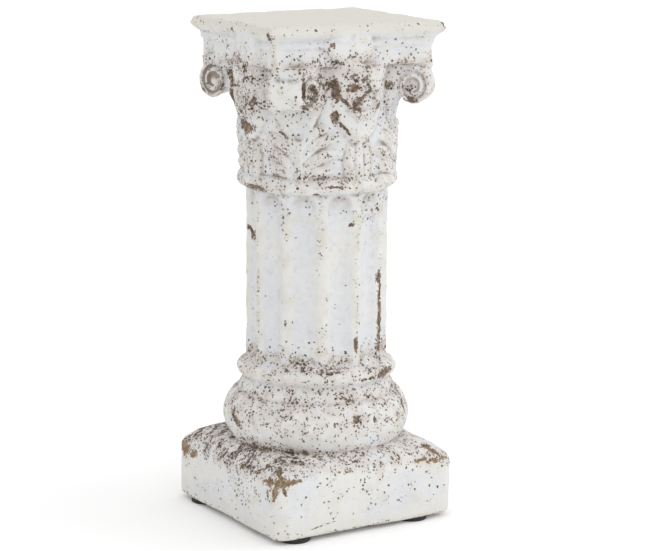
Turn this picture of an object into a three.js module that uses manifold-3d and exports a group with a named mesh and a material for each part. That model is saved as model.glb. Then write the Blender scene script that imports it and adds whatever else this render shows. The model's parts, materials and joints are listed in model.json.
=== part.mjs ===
// A small cast decorative column: square plinth, torus base, fluted shaft and a capital with
// leaves, corner scrolls and a flowered abacus, all one casting, on four round stick-on pads.
// Millimetres, +Z up. The origin is on the ground, under the middle of the plinth.

import * as THREE from 'three';
import { mergeVertices } from 'three/addons/utils/BufferGeometryUtils.js';
import Module from 'manifold-3d';

const wasm = await Module();
wasm.setup();

// Driving dimensions. Heights are measured from the ground.
const pad = { diameter: 18, thickness: 2.5, sides: 20 };
const plinth = {
  half: 60, corner: 8, bottomRound: 2.2, sideTop: 33.8, edgeRound: 6.5, edgeSweep: 52, cornerSteps: 5,
  // The slope from the edge up to the round base: half side, corner radius and height.
  slope: [[55.2, 20, 41.8], [52, 34, 44.5], [49.5, 49, 46.5]],
};
const torus = { low: 45.5, high: 74, radiusLow: 49, radiusHigh: 47.5, radius: 54.6, sunk: 7 };
// Radius and height up the neck, round the lower ring's rim and over its sloping top.
const neckAndRing = [[45.6, 79], [43.6, 83.2], [46, 85.2], [46.3, 89.8], [44.6, 91.8], [40.5, 94.3]];
const shaft = { low: 95, high: 190.5, radius: 40.5, flutes: 12, fluteDepth: 3.4, fluteFade: 4 };
const upperRing = { low: 191, high: 203, radius: 46.9 };
const bell = { low: 203, high: 268, radiusLow: 42.8, radiusHigh: 47.4, flare: 1.3 };
const abacus = {
  low: 266.2, blockTop: 277.2, filletTop: 281.2, lip: 286.4, top: 290, softEdge: 0.8,
  blockHalf: 48.1, filletHalf: 50.2, lipHalf: 54.6, topHalf: 52.6, corner: 2.5, turnDegrees: -5.5,
};
const scroll = {
  reach: 59.8, height: 252.9, radius: 11.8, squash: 0.8, outerHalfWidth: 8.8, splayDegrees: 20,
  recess: 1.3, turns: 1.6, rollStart: 0.03, rollEnd: 0.66, band: 2.7, eye: 2.5,
  stemLow: 219, stemInside: 38, webReach: 61, webSunk: 1,
};
const cornerLeaf = {
  low: 202.5, stemTop: 220, tipLow: 205, tipHigh: 230, spreadLow: 23, spreadHigh: 15,
  lobes: 4, lobeHeight: 3.6, scallop: 2.2, deep: 5, curveSteps: 3,
};
const faceLeaf = { low: 202.5, high: 224, halfWidth: 7.5, ribs: 3, ribHeight: 3, deep: 5 };
const tongue = { low: 223, high: 267, halfWidth: 17, thick: 3.2, flare: 2.4, roundness: 2.4, deep: 6 };
const lyre = { low: 236, high: 261, spread: 8, width: 2.2, height: 2, gap: 2.5 };
const flower = { height: 276.5, face: 51, petals: 5, radius: 11, lobe: 0.2, proud: 4.8, heart: 0.36 };

// The turned part and its carving stand a little off the plinth's middle, as they were cast.
const offCentre = { x: 1, y: -0.6 };

// The four pads, where they were stuck on by hand.
const padPlaces = {
  foot_pad_front_left: [-44, -50.5],
  foot_pad_front_right: [36, -50.5],
  foot_pad_back_left: [-50.5, 40],
  foot_pad_back_right: [45, 47],
};

const roundPoints = 4 * shaft.flutes;
const quarterTurn = Math.PI / 2;
const fullTurn = Math.PI * 2;
const mix = THREE.MathUtils.lerp;
const smooth = THREE.MathUtils.smoothstep;
const radians = THREE.MathUtils.degToRad;
const steps = (count) => Array.from({ length: count + 1 }, (_, i) => i / count);
const roundSteps = (count) => steps(count).slice(0, count);
const turned = (geometry, angle) => geometry.clone().rotateZ(angle);

// A closed skin over a stack of loops that hold the same number of points, with flat ends
function skin(loops) {
  const count = loops[0].length;
  const points = loops.flat();
  const triangles = [];
  for (let level = 0; level < loops.length - 1; level++) {
    for (let i = 0; i < count; i++) {
      const a = level * count + i;
      const b = level * count + ((i + 1) % count);
      triangles.push(a, b, b + count, a, b + count, a + count);
    }
  }
  const last = (loops.length - 1) * count;
  const middle = (loop) => loop.reduce((sum, p) => sum.add(p), new THREE.Vector3()).divideScalar(count);
  points.push(middle(loops[0]), middle(loops.at(-1)));
  for (let i = 0; i < count; i++) {
    const next = (i + 1) % count;
    triangles.push(points.length - 2, next, i, points.length - 1, last + i, last + next);
  }
  const geometry = new THREE.BufferGeometry().setFromPoints(points);
  geometry.setIndex(triangles);
  return outward(geometry);
}

// Turns a closed mesh's faces round if they point inwards
function outward(geometry) {
  const index = geometry.index.array;
  const place = geometry.attributes.position;
  const corner = (i) => new THREE.Vector3().fromBufferAttribute(place, index[i]);
  let volume = 0;
  for (let i = 0; i < index.length; i += 3) {
    volume += corner(i).dot(corner(i + 1).cross(corner(i + 2)));
  }
  if (volume < 0) geometry.setIndex([...index].reverse());
  return geometry;
}

// Shared corners merged, so that the mesh is closed
function welded(geometry) {
  const bare = geometry.clone();
  bare.deleteAttribute('normal');
  bare.deleteAttribute('uv');
  return mergeVertices(bare);
}

function solidOf(geometry) {
  const closed = welded(geometry);
  return new wasm.Manifold(new wasm.Mesh({
    numProp: 3,
    vertProperties: new Float32Array(closed.attributes.position.array),
    triVerts: new Uint32Array(closed.index.array),
  }));
}

function joined(geometries) {
  const whole = geometries.map(solidOf).reduce((all, solid) => all.add(solid));
  const { vertProperties, triVerts } = whole.getMesh();
  const geometry = new THREE.BufferGeometry();
  geometry.setAttribute('position', new THREE.BufferAttribute(vertProperties, 3));
  geometry.setIndex(new THREE.BufferAttribute(triVerts, 1));
  geometry.computeVertexNormals();
  return geometry;
}

// Round and square loops in plan
function roundLoop(radiusAt, z) {
  return roundSteps(roundPoints).map((share) => {
    const angle = share * fullTurn;
    const radius = radiusAt(angle);
    return new THREE.Vector3(radius * Math.cos(angle), radius * Math.sin(angle), z);
  });
}

function squareLoop(half, corner, z, cornerSteps) {
  const loop = [];
  for (let side = 0; side < 4; side++) {
    const diagonal = (side + 0.5) * quarterTurn;
    const centreX = (half - corner) * Math.sign(Math.cos(diagonal));
    const centreY = (half - corner) * Math.sign(Math.sin(diagonal));
    for (const share of steps(cornerSteps)) {
      const angle = (side + share) * quarterTurn;
      loop.push(new THREE.Vector3(centreX + corner * Math.cos(angle), centreY + corner * Math.sin(angle), z));
    }
  }
  return loop;
}

// Plinth: a square block with soft edges whose top swells up to the round base
function plinthBody() {
  const loops = [];
  const addLoop = (half, corner, z) => loops.push(squareLoop(half, corner, z, plinth.cornerSteps));
  for (const share of steps(2)) {
    const angle = share * quarterTurn;
    const half = plinth.half - plinth.bottomRound * (1 - Math.sin(angle));
    addLoop(half, plinth.corner, pad.thickness + plinth.bottomRound * (1 - Math.cos(angle)));
  }
  const sweep = radians(plinth.edgeSweep);
  for (const share of steps(3)) {
    const inward = plinth.edgeRound * (1 - Math.cos(share * sweep));
    const z = plinth.sideTop + plinth.edgeRound * Math.sin(share * sweep);
    addLoop(plinth.half - inward, plinth.corner * mix(1, 1.5, share), z);
  }
  plinth.slope.forEach(([half, corner, z]) => addLoop(half, corner, z));
  return skin(loops);
}

// Turned core: torus, neck, rings, fluted shaft and the bell under the carving
function bulge(low, high, radiusLow, radiusHigh, radius, count) {
  const proud = radius - (radiusLow + radiusHigh) / 2;
  return steps(count).map((share) => {
    const swell = Math.sin(share * Math.PI) ** 0.8;
    return [mix(radiusLow, radiusHigh, share) + proud * swell, mix(low, high, share)];
  });
}

function bellRadius(z) {
  const share = THREE.MathUtils.clamp((z - bell.low) / (bell.high - bell.low), 0, 1);
  return mix(bell.radiusLow, bell.radiusHigh, share ** bell.flare);
}

function fluteRadius(angle, depthShare) {
  const span = fullTurn / shaft.flutes;
  const across = (angle % span) / span * 2 - 1;
  return shaft.radius - shaft.fluteDepth * depthShare * (1 - across * across);
}

function turnedCore() {
  const loops = [roundLoop(() => torus.radiusLow, torus.low - torus.sunk)];
  const addRound = ([radius, z]) => loops.push(roundLoop(() => radius, z));
  const addFluted = (z, depthShare) => loops.push(roundLoop((angle) => fluteRadius(angle, depthShare), z));
  bulge(torus.low, torus.high, torus.radiusLow, torus.radiusHigh, torus.radius, 6).forEach(addRound);
  neckAndRing.forEach(addRound);
  addFluted(shaft.low, 0);
  addFluted(shaft.low + shaft.fluteFade, 1);
  addFluted(shaft.high - shaft.fluteFade, 1);
  addFluted(shaft.high, 0);
  bulge(upperRing.low, upperRing.high, shaft.radius, bell.radiusLow, upperRing.radius, 4).forEach(addRound);
  for (const share of steps(4).slice(1)) {
    const z = mix(bell.low, bell.high, share);
    addRound([bellRadius(z), z]);
  }
  return skin(loops);
}

// Abacus: a square block, a fillet and a flared lip, set a few degrees off the plinth's square
function abacusSlab() {
  const level = (half, z) => squareLoop(half, abacus.corner, z, 2);
  const loops = [
    level(abacus.blockHalf - abacus.softEdge, abacus.low),
    level(abacus.blockHalf, abacus.low + abacus.softEdge),
    level(abacus.blockHalf, abacus.blockTop),
    level(abacus.filletHalf, abacus.blockTop + abacus.softEdge / 2),
  ];
  for (const share of steps(3)) {
    const half = mix(abacus.filletHalf, abacus.lipHalf, Math.sin(share * quarterTurn));
    loops.push(level(half, mix(abacus.filletTop, abacus.lip, share)));
  }
  loops.push(level(mix(abacus.lipHalf, abacus.topHalf, 0.25), mix(abacus.lip, abacus.top, 0.7)));
  loops.push(level(abacus.topHalf, abacus.top));
  return turned(skin(loops), radians(abacus.turnDegrees));
}

// Flower in the middle of an abacus side: a ring of petals round a raised heart
function flowerAt(faceAngle) {
  const { height, face, petals, radius, lobe, proud, heart } = flower;
  const ring = (share, out) => roundSteps(petals * 4).map((turn) => {
    const around = turn * fullTurn;
    const reach = radius * share * (1 + lobe * Math.cos(petals * around));
    return new THREE.Vector3(face + out, -reach * Math.sin(around), height + reach * Math.cos(around));
  });
  const rings = [
    ring(1, -proud),
    ring(1, proud * 0.2),
    ring(0.68, proud),
    ring(heart, proud * 0.7),
    ring(heart * 0.7, proud * 1.2),
  ];
  return turned(skin(rings), faceAngle + radians(abacus.turnDegrees));
}

// A place on the bell, from an arc length off a centre line, a height and a lift
function onBell(centre, along, z, lift) {
  const radius = bellRadius(z);
  const angle = centre + along / radius;
  return new THREE.Vector3(Math.cos(angle), Math.sin(angle), 0).multiplyScalar(radius + lift).setZ(z);
}

// Points of a bent line, as [along, height] pairs
function bentLine(from, bend, to, count) {
  const ends = [from, bend, to].map(([along, z]) => new THREE.Vector2(along, z));
  return new THREE.QuadraticBezierCurve(...ends).getPoints(count).map((p) => [p.x, p.y]);
}

// A tapered ridge that lies on the bell along a path of [along, height] pairs
function ridge(centre, path, width, height, base) {
  const section = [[-1, -0.6], [0, 1], [1, -0.6]];
  const loops = path.map(([along, z], i) => {
    const before = path[Math.max(0, i - 1)];
    const after = path[Math.min(path.length - 1, i + 1)];
    const heading = new THREE.Vector2(after[0] - before[0], after[1] - before[1]).normalize();
    const taper = mix(1, 0.45, i / (path.length - 1));
    return section.map(([sideways, up]) => {
      const across = sideways * width * taper;
      const lift = base + up * height * taper;
      return onBell(centre, along + across * heading.y, z - across * heading.x, lift);
    });
  });
  return skin(loops);
}

// Leaf under a corner scroll. Its lobes rise from a midrib and bend outwards like a fountain:
// crests and grooves by turns, each a line from the left tip over the midrib to the right tip.
function cornerLeafAt(centre) {
  const { low, stemTop, tipLow, tipHigh, spreadLow, spreadHigh, lobeHeight, curveSteps } = cornerLeaf;
  const loops = steps(cornerLeaf.lobes * 2).map((share, i) => {
    const isCrest = i % 2 === 1;
    const spread = mix(spreadLow, spreadHigh, share * share) - (isCrest ? 0 : cornerLeaf.scallop);
    const tipHeight = mix(tipLow, tipHigh, share);
    const bend = [spread * 0.35, tipHeight + 2];
    const run = bentLine([0, mix(low, stemTop, share)], bend, [spread, tipHeight], curveSteps);
    const liftAt = (place) => lobeHeight * (isCrest ? mix(1, 0.62, place) : mix(0.45, -0.2, place));
    const half = (side) => run.map(([along, z], k) => {
      const lift = liftAt(k / curveSteps);
      return onBell(centre, side * along, z, lift);
    });
    const back = [1, -1].map((side) => onBell(centre, side * spread, tipHeight, -cornerLeaf.deep));
    return [...half(-1).reverse(), ...half(1).slice(1), ...back];
  });
  return skin(loops);
}

// Narrow leaf below the middle of a side: upright ribs that end in a blunt tip
function faceLeafAt(centre) {
  const { low, high, halfWidth, ribs, ribHeight, deep } = faceLeaf;
  const loops = steps(3).map((share) => {
    const half = halfWidth * (share === 1 ? 0.66 : mix(0.8, 1.1, share));
    const z = mix(low, high, share);
    const crestLift = ribHeight * mix(1.1, 0.8, share);
    const front = steps(ribs * 2).map((across, i) => {
      const lift = crestLift * (i % 2 === 1 ? 1 : 0.3);
      return onBell(centre, mix(-half, half, across), z, lift);
    });
    return [...front, onBell(centre, half, z, -deep), onBell(centre, -half, z, -deep)];
  });
  return skin(loops);
}

// Tongue between two scrolls: a panel with a round lower tip, flaring out towards the abacus
function tongueAt(centre) {
  const { low, high, halfWidth, thick, flare, roundness, deep } = tongue;
  const loops = steps(5).map((share) => {
    const z = mix(low, high, share);
    const half = halfWidth * Math.sqrt(1 - (1 - Math.max(share, 0.04)) ** roundness);
    const lift = thick + flare * share * share;
    const front = steps(4).map((across) => {
      const place = mix(-1, 1, across);
      return onBell(centre, place * half, z, lift * (1 - 0.3 * place * place));
    });
    return [...front, onBell(centre, half, z, -deep), onBell(centre, -half, z, -deep)];
  });
  return skin(loops);
}

// Two thin stems on the tongue that open like a lyre below the flower
function lyreAt(centre) {
  const { low, high, spread, width, height, gap } = lyre;
  return [-1, 1].map((side) => {
    const widest = [side * spread, mix(low, high, 0.6)];
    const opening = bentLine([0, low], [side * spread * 1.5, low + 4], widest, 3);
    const closing = bentLine(widest, [side * spread * 0.7, high + 1], [side * gap, high - 4], 2);
    return ridge(centre, [...opening, ...closing.slice(1)], width, height, tongue.thick * 1.1);
  });
}

// Corner scroll. Its side view lies in reach from the axis and height, and its ends splay inwards.
function scrollHalfWidth(reach, z) {
  const inward = scroll.reach + scroll.radius - reach;
  const splayed = scroll.outerHalfWidth + inward * Math.tan(radians(scroll.splayDegrees));
  return splayed * mix(0.12, 1, smooth(z, scroll.stemLow, scroll.height - scroll.radius));
}

function acrossCorner(sideView, proud) {
  const slab = new THREE.ExtrudeGeometry(new THREE.Shape(sideView), { depth: 2, bevelEnabled: false });
  const place = slab.attributes.position;
  for (let i = 0; i < place.count; i++) {
    const reach = place.getX(i);
    const z = place.getY(i);
    const end = place.getZ(i) - 1;
    place.setXYZ(i, reach, -end * (scrollHalfWidth(reach, z) + proud), z);
  }
  return outward(welded(slab));
}

// The rolled edge winds inwards from the top, over the front and under
const bandRadius = (turn) => mix(scroll.radius, scroll.eye + scroll.band, turn / scroll.turns);
const bandAngle = (turn) => quarterTurn - turn * fullTurn;

function scrollPoint(radius, angle) {
  const reach = scroll.reach + radius * scroll.squash * Math.cos(angle);
  return new THREE.Vector2(reach, scroll.height + radius * Math.sin(angle));
}

function scrollStem() {
  const under = 0.5;
  const foot = bellRadius(scroll.stemLow);
  const roll = steps(10).map((share) => mix(scroll.rollStart, scroll.rollEnd, share));
  return acrossCorner([
    new THREE.Vector2(scroll.stemInside, abacus.low + scroll.webSunk),
    new THREE.Vector2(scroll.webReach, abacus.low + scroll.webSunk),
    ...roll.map((turn) => scrollPoint(bandRadius(turn) - under, bandAngle(turn))),
    new THREE.Vector2(scroll.reach - scroll.radius, scroll.height - scroll.radius * 1.2),
    new THREE.Vector2(foot + 2.2, scroll.stemLow + 10),
    new THREE.Vector2(foot + 0.4, scroll.stemLow),
    new THREE.Vector2(scroll.stemInside, scroll.stemLow),
  ], -scroll.recess);
}

function scrollBand() {
  const winding = steps(18).map((share) => share * scroll.turns);
  const outer = winding.map((turn) => scrollPoint(bandRadius(turn), bandAngle(turn)));
  const inner = winding.map((turn) => scrollPoint(bandRadius(turn) - scroll.band, bandAngle(turn)));
  return acrossCorner([...outer, ...inner.reverse()], 0);
}

function scrollEye() {
  return acrossCorner(roundSteps(6).map((share) => scrollPoint(scroll.eye, share * fullTurn)), 0);
}

function cornerScrollAt(angle) {
  return [scrollStem(), scrollBand(), scrollEye()].map((geometry) => turned(geometry, angle));
}

// The whole casting
function columnGeometry() {
  const faces = roundSteps(4).map((share) => share * fullTurn);
  const corners = faces.map((angle) => angle + quarterTurn / 2);
  const carvedAndTurned = [
    turnedCore(),
    ...faces.flatMap((angle) => [tongueAt(angle), ...lyreAt(angle), faceLeafAt(angle)]),
    ...corners.flatMap((angle) => [...cornerScrollAt(angle), cornerLeafAt(angle)]),
  ];
  return joined([
    plinthBody(),
    abacusSlab(),
    ...carvedAndTurned.map((geometry) => geometry.translate(offCentre.x, offCentre.y, 0)),
    ...faces.map(flowerAt),
  ]);
}

function padGeometry() {
  const radius = pad.diameter / 2;
  const rim = roundSteps(pad.sides).map((share) => {
    const angle = share * fullTurn;
    return new THREE.Vector2(radius * Math.cos(angle), radius * Math.sin(angle));
  });
  return new THREE.ExtrudeGeometry(new THREE.Shape(rim), { depth: pad.thickness, bevelEnabled: false });
}

const castStone = new THREE.MeshStandardMaterial({ color: 0xe6e3dd, roughness: 0.9, metalness: 0 });
const blackRubber = new THREE.MeshStandardMaterial({ color: 0x1b1b1d, roughness: 0.75, metalness: 0 });

const column = new THREE.Group();
column.name = 'decorative_column';

const casting = new THREE.Mesh(columnGeometry(), castStone);
casting.name = 'column';
column.add(casting);

for (const [name, [x, y]] of Object.entries(padPlaces)) {
  const foot = new THREE.Mesh(padGeometry(), blackRubber);
  foot.name = name;
  foot.position.set(x, y, 0);
  column.add(foot);
}

export default column;
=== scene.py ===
import bmesh
import bpy
import json
import math
import numpy as np
from mathutils import Matrix, Vector

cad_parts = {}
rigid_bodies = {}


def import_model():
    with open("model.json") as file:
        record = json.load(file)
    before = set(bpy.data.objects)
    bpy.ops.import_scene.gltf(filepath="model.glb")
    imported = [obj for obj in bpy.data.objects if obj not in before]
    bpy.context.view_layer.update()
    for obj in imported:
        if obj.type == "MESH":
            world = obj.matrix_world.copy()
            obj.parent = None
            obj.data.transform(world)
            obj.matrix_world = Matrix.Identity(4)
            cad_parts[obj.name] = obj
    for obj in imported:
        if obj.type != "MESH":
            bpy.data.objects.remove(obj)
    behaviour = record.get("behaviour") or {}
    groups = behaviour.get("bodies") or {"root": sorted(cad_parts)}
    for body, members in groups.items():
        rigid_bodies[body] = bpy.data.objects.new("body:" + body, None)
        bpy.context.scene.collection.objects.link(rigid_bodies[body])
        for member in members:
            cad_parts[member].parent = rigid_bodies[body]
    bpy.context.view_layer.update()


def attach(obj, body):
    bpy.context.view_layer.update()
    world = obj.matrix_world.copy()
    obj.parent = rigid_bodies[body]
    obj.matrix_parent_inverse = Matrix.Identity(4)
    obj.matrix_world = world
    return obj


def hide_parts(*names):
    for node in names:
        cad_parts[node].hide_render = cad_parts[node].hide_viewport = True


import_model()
mm = 0.001
fullTurn = 2 * math.pi


# everyday helpers

def deselectAll():
    if bpy.context.object and bpy.context.object.mode != "OBJECT":
        bpy.ops.object.mode_set(mode="OBJECT")
    bpy.ops.object.select_all(action="DESELECT")


def pick(*objects):
    deselectAll()
    for item in objects:
        item.select_set(True)
    bpy.context.view_layer.objects.active = objects[0]


def startEditing(name):
    bpy.context.object.name = name
    bpy.ops.object.mode_set(mode="EDIT")
    return bpy.context.object


def doneEditing():
    bpy.ops.object.mode_set(mode="OBJECT")
    return bpy.context.object


# select in edit mode by place or normal: kind is VERT, EDGE or FACE
def selectWhere(kind, test):
    bpy.ops.mesh.select_mode(type=kind)
    bpy.ops.mesh.select_all(action="DESELECT")
    mesh = bpy.context.object.data
    body = bmesh.from_edit_mesh(mesh)
    parts = {"VERT": body.verts, "EDGE": body.edges, "FACE": body.faces}[kind]
    for part in parts:
        if test(part):
            part.select_set(True)
    body.select_flush_mode()
    bmesh.update_edit_mesh(mesh)


# move the selected points of the mesh being edited: place takes and gives a point in millimetres
def moveSelected(place):
    mesh = bpy.context.object.data
    body = bmesh.from_edit_mesh(mesh)
    for point in body.verts:
        if point.select:
            point.co = Vector(place(*(point.co / mm))) * mm
    bmesh.update_edit_mesh(mesh)


# a chain of edges drawn point by point, left in edit mode
def drawLine(name, points, closed=False):
    deselectAll()
    bpy.ops.mesh.primitive_plane_add(size=mm)
    startEditing(name)
    bpy.ops.mesh.select_mode(type="VERT")
    bpy.ops.mesh.select_all(action="SELECT")
    bpy.ops.mesh.merge(type="CENTER")
    bpy.ops.transform.translate(value=Vector(points[0]) * mm)
    for before, after in zip(points, points[1:]):
        step = (Vector(after) - Vector(before)) * mm
        bpy.ops.mesh.extrude_vertices_move(TRANSFORM_OT_translate={"value": step})
    bpy.ops.mesh.select_all(action="SELECT")
    if closed:
        bpy.ops.mesh.edge_face_add()


def cleanSkin():
    bpy.ops.mesh.select_all(action="SELECT")
    bpy.ops.mesh.remove_doubles(threshold=0.01 * mm)
    bpy.ops.mesh.normals_make_consistent(inside=False)


def useModifier(kind, **settings):
    piece = bpy.context.object
    added = piece.modifiers.new(kind, kind)
    for key, value in settings.items():
        setattr(added, key, value)
    bpy.ops.object.modifier_apply(modifier=added.name)


# a tapered round stem through a few points, as a mesh
def stem(name, points, radii):
    deselectAll()
    bpy.ops.curve.primitive_nurbs_path_add()
    line = bpy.context.object
    line.name = name
    line.location = (0, 0, 0)
    spline = line.data.splines[0]
    spline.points.add(len(points) - len(spline.points))
    for knot, place, radius in zip(spline.points, points, radii):
        knot.co = (*(Vector(place) * mm), 1)
        knot.radius = radius
    spline.order_u = 3
    spline.use_endpoint_u = True
    spline.resolution_u = 6
    line.data.bevel_depth = mm
    line.data.bevel_resolution = 3
    line.data.use_fill_caps = True
    bpy.ops.object.convert(target="MESH")
    startEditing(name)
    cleanSkin()
    return doneEditing()


def joinAll(name, pieces):
    pick(*pieces)
    bpy.ops.object.join()
    bpy.context.object.name = name
    return bpy.context.object


def turnAndPlace(piece, degrees, shift=(0, 0)):
    pick(piece)
    piece.rotation_euler.z = math.radians(degrees)
    piece.location = Vector((shift[0], shift[1], 0)) * mm
    bpy.ops.object.transform_apply(location=True, rotation=True, scale=True)
    return piece


# the modelled piece and its copies at the other three sides, each with its own mesh
def fourTimes(piece, firstDegrees, shift=(0, 0)):
    copies = [piece]
    for side in range(3):
        pick(piece)
        bpy.ops.object.duplicate(linked=False)
        copies.append(bpy.context.object)
    for side, copy in enumerate(copies):
        turnAndPlace(copy, firstDegrees + 90 * side, shift)
    return copies


def mix(a, b, share):
    return a + (b - a) * share


def smoothStep(value, low, high):
    share = min(1, max(0, (value - low) / (high - low)))
    return share * share * (3 - 2 * share)


def bulge(low, high, radiusLow, radiusHigh, radius, count):
    proud = radius - (radiusLow + radiusHigh) / 2
    shares = [i / count for i in range(count + 1)]
    return [(mix(radiusLow, radiusHigh, s) + proud * math.sin(s * math.pi) ** 0.8, mix(low, high, s))
            for s in shares]


# the camera stands where the photograph was taken from
view = dict(turn=-31.825, away=1.2626, height=0.3944, yaw=-0.276, pitch=11.42, roll=0.347,
            focalPixels=2206.4, imageWide=650)


def setCamera():
    deselectAll()
    turn = math.radians(view["turn"])
    bpy.ops.object.camera_add()
    camera = bpy.context.object
    camera.name = "photoCamera"
    place = Matrix.Translation((view["away"] * math.sin(turn), -view["away"] * math.cos(turn), view["height"]))
    heading = Matrix.Rotation(turn + math.radians(view["yaw"]), 4, "Z")
    tilt = Matrix.Rotation(math.radians(90 - view["pitch"]), 4, "X")
    camera.matrix_world = place @ heading @ tilt @ Matrix.Rotation(math.radians(view["roll"]), 4, "Z")
    camera.data.sensor_fit = "HORIZONTAL"
    camera.data.sensor_width = 36
    camera.data.lens = view["focalPixels"] * camera.data.sensor_width / view["imageWide"]
    camera.data.clip_start = 0.05
    bpy.context.scene.camera = camera


setCamera()
print("camera set")


# plinth: a square block with soft edges, its top swelling up to the round base
plinth = dict(half=60, corner=8, low=2.5, bottomRound=2.2, sideTop=33.8, edgeRound=6.5, edgeSweep=52,
              slope=[(55.2, 41.8, 0.06), (52, 44.5, 0.35), (49.5, 46.5, 1)],   # half side, height, roundness
              cuts=9)


def makePlinth():
    low, sideTop, half = plinth["low"], plinth["sideTop"], plinth["half"]
    deselectAll()
    bpy.ops.mesh.primitive_cube_add(size=2 * half * mm, location=(0, 0, 0))
    startEditing("plinth")
    bpy.ops.transform.resize(value=(1, 1, (sideTop - low) / (2 * half)))
    bpy.ops.transform.translate(value=(0, 0, (sideTop + low) / 2 * mm))
    bpy.ops.mesh.subdivide(number_cuts=plinth["cuts"])
    for up in (1, -1):                                            # one face each for the top and the bottom
        selectWhere("FACE", lambda face: face.normal.z * up > 0.9)
        bpy.ops.mesh.dissolve_faces()
    edge = (half - 0.01) * mm
    selectWhere("EDGE", lambda e: all(abs(v.co.x) > edge and abs(v.co.y) > edge for v in e.verts))
    bpy.ops.mesh.bevel(offset=plinth["corner"] * mm, segments=6)
    selectWhere("EDGE", lambda e: all(v.co.z < (low + 0.01) * mm for v in e.verts))
    bpy.ops.mesh.bevel(offset=plinth["bottomRound"] * mm, segments=3)
    selectWhere("FACE", lambda face: face.normal.z > 0.9)
    reached, height = half, sideTop

    def raiseTop(newHalf, newHeight, roundness):
        bpy.ops.mesh.extrude_region_move(TRANSFORM_OT_translate={"value": (0, 0, (newHeight - height) * mm)})
        bpy.ops.transform.resize(value=(newHalf / reached, newHalf / reached, 1))

        def rounded(x, y, z):
            flat = math.hypot(x, y)
            return (x * mix(1, newHalf / flat, roundness), y * mix(1, newHalf / flat, roundness), z)
        moveSelected(rounded)
        return newHalf, newHeight

    sweep = math.radians(plinth["edgeSweep"])
    for share in (0.2, 0.4, 0.6, 0.8, 1):                          # the rolled upper edge
        inward = plinth["edgeRound"] * (1 - math.cos(share * sweep))
        rise = plinth["edgeRound"] * math.sin(share * sweep)
        reached, height = raiseTop(half - inward, sideTop + rise, 0.02)
    for newHalf, newHeight, roundness in plinth["slope"]:           # up to the round foot of the torus
        reached, height = raiseTop(newHalf, newHeight, roundness)
    cleanSkin()
    return doneEditing()


# turned core: torus, neck, rings and the bell under the carving
core = dict(torusLow=45.5, torusHigh=73, torusRadiusLow=49, torusRadiusHigh=47.5, torusRadius=54.6, sunk=7,
            neck=[(46.2, 73.3), (45.4, 76), (44.3, 78), (43.3, 79.8), (42.9, 81)],   # from a small ledge
            lowerRing=[(43.6, 82.2), (45.4, 83), (46.4, 84.4), (46.6, 86), (46.6, 88.2), (45.8, 89.6),
                       (43.8, 90.8), (41.6, 92.4), (39.4, 94.6), (37.8, 97)],
            ringTilt=1.6, tiltTowards=238, tiltLow=78, tiltHigh=98,       # the lower ring is a little skew
            upperRingLow=193, upperRingHigh=203, upperRingRadius=46.9,
            bellHigh=268, bellRadiusLow=42.8, bellRadiusHigh=47.4, bellFlare=1.3, steps=120)
shaft = dict(low=90, radius=41, flutes=12, turn=2.4, fluteDepth=3.6, filletShare=0.19,
             archTop=195, archDrop=5, archFade=5, chain=24, levels=(150, 182, 184, 186, 188, 190, 192, 195))
offCentre = (1, -0.6)                               # the turned and carved middle sits a little off the plinth


def bellRadius(z):
    share = min(1, max(0, (z - core["upperRingHigh"]) / (core["bellHigh"] - core["upperRingHigh"])))
    return mix(core["bellRadiusLow"], core["bellRadiusHigh"], share ** core["bellFlare"])


def makeCore():
    inside = shaft["radius"] - shaft["fluteDepth"] - 1
    low = core["torusLow"] - core["sunk"]
    profile = [(0, low), (core["torusRadiusLow"], low)]
    profile += bulge(core["torusLow"], core["torusHigh"], core["torusRadiusLow"], core["torusRadiusHigh"],
                     core["torusRadius"], 16)
    profile += core["neck"] + core["lowerRing"]     # the neck curves in, the ring has a sloping top
    profile += [(inside, core["lowerRing"][-1][1] + 0.3), (inside, core["upperRingLow"] - 0.3)]
    profile += bulge(core["upperRingLow"], core["upperRingHigh"], shaft["radius"], core["bellRadiusLow"],
                     core["upperRingRadius"], 10)
    for share in (0.15, 0.3, 0.45, 0.6, 0.75, 0.9, 1):
        z = mix(core["upperRingHigh"], core["bellHigh"], share)
        profile.append((bellRadius(z), z))
    profile.append((0, core["bellHigh"]))
    drawLine("core", [(r, 0, z) for r, z in profile])
    bpy.ops.mesh.spin(steps=core["steps"], angle=fullTurn, center=(0, 0, 0), axis=(0, 0, 1))
    cleanSkin()
    towards = math.radians(core["tiltTowards"])

    def skewed(x, y, z):
        rise = core["ringTilt"] * (x * math.cos(towards) + y * math.sin(towards)) / core["upperRingRadius"]
        fadeIn = smoothStep(z, core["tiltLow"], core["lowerRing"][0][1])
        fadeOut = 1 - smoothStep(z, core["lowerRing"][-1][1], core["tiltHigh"])
        return (x, y, z + rise * fadeIn * fadeOut)
    moveSelected(skewed)
    return turnAndPlace(doneEditing(), 0, offCentre)


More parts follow.
